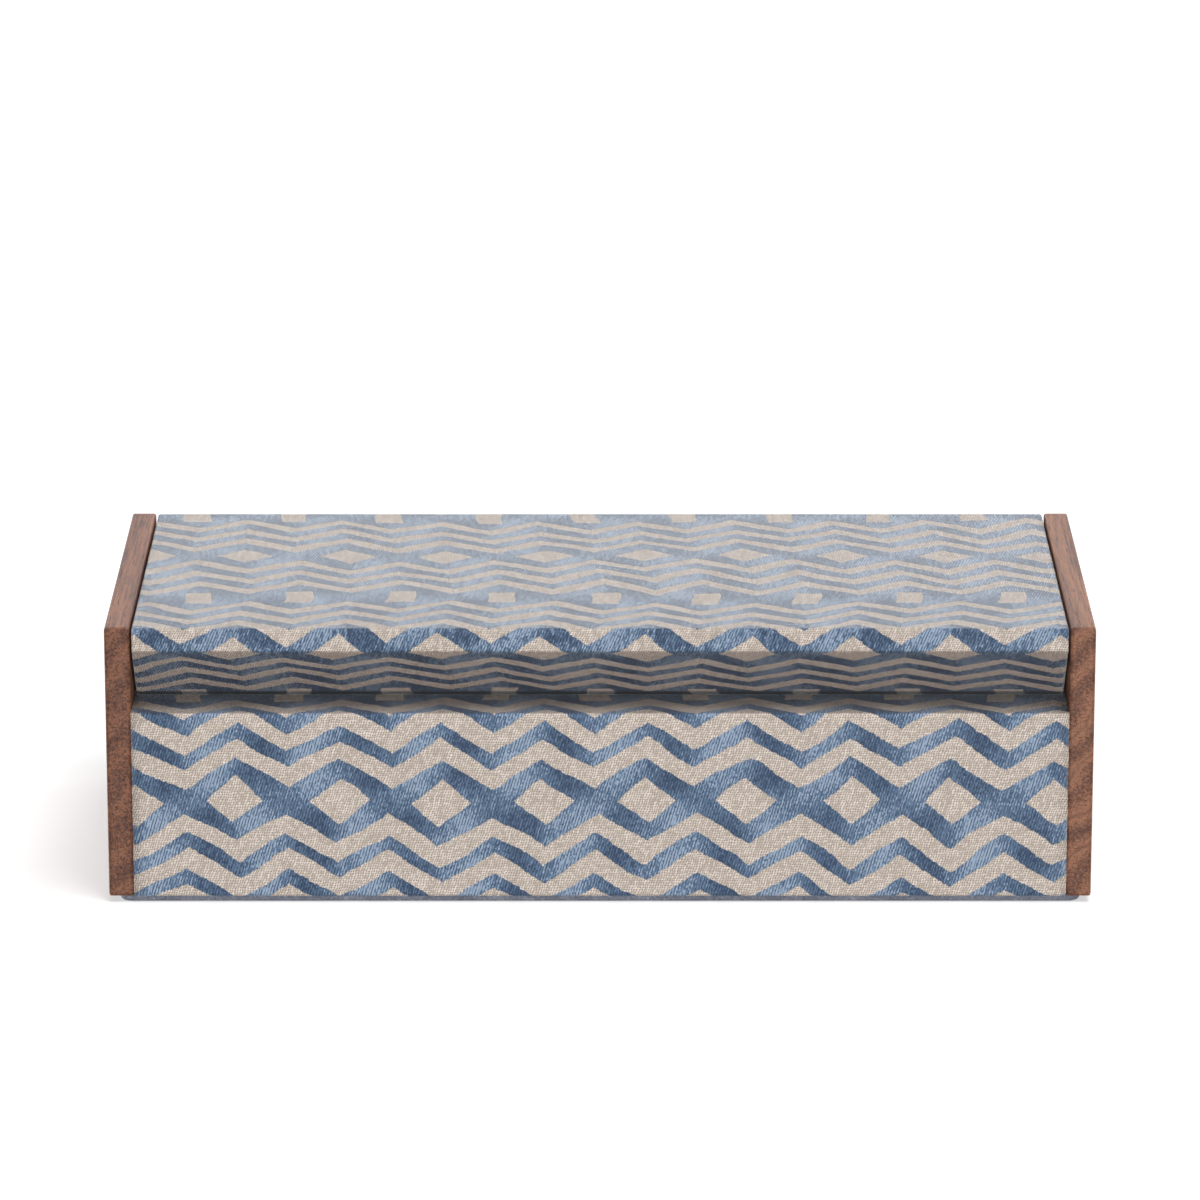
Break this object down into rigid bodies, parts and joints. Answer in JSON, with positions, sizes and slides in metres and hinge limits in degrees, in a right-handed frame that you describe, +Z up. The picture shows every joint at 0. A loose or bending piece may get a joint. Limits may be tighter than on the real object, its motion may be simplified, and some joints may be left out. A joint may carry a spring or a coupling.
{
  "type": "domino storage box",
  "caption": "Long low box for dominoes: cloth-covered case, a bevelled cloth-covered lid turning on hidden pins between wooden end panels, felt base.",
  "frame": {"origin": "middle of the underside, on the surface that the box stands on", "axes": "+X along the box to its right-hand end panel, -Y to the front, where the lid lifts, +Z up"},
  "size_m": [0.235, 0.1028, 0.0685],
  "materials": {
    "walnut": "oiled walnut, satin, open grain along the depth of the box",
    "core_board": "raw fibreboard, matt, hidden under cloth and lining",
    "cover_cloth": "oatmeal linen with rows of zigzags and diamonds worked in blue thread, matt with a slight sheen on the thread",
    "lining_felt": "short-pile blue felt, matt",
    "base_felt": "grey-blue pressed felt, matt",
    "brass": "turned brass, satin",
    "beech": "plain beech dowel"
  },
  "bodies": {
    "case": {"left_end_panel": "walnut", "right_end_panel": "walnut", "front_board": "core_board", "back_board": "core_board", "left_end_board": "core_board", "right_end_board": "core_board", "base_board": "core_board", "left_panel_dowels": "beech", "right_panel_dowels": "beech", "front_cover": "cover_cloth", "back_cover": "cover_cloth", "left_rim_cover": "cover_cloth", "right_rim_cover": "cover_cloth", "front_lining": "lining_felt", "back_lining": "lining_felt", "left_lining": "lining_felt", "right_lining": "lining_felt", "floor_lining": "lining_felt", "base_felt": "base_felt", "left_pivot_pin": "brass", "right_pivot_pin": "brass", "left_washer": "brass", "right_washer": "brass"},
    "lid": {"lid_board": "core_board", "lid_cover": "cover_cloth", "left_lid_end_cover": "cover_cloth", "right_lid_end_cover": "cover_cloth", "lid_lining": "lining_felt", "left_bush": "brass", "right_bush": "brass"}
  },
  "joints": [
    {"name": "lid_hinge", "type": "hinge", "parent": "case", "child": "lid", "pos_m": [0, 0.0409, 0.05979], "axis": [-1, 0, 0], "range_deg": [0, 108]}
  ]
}
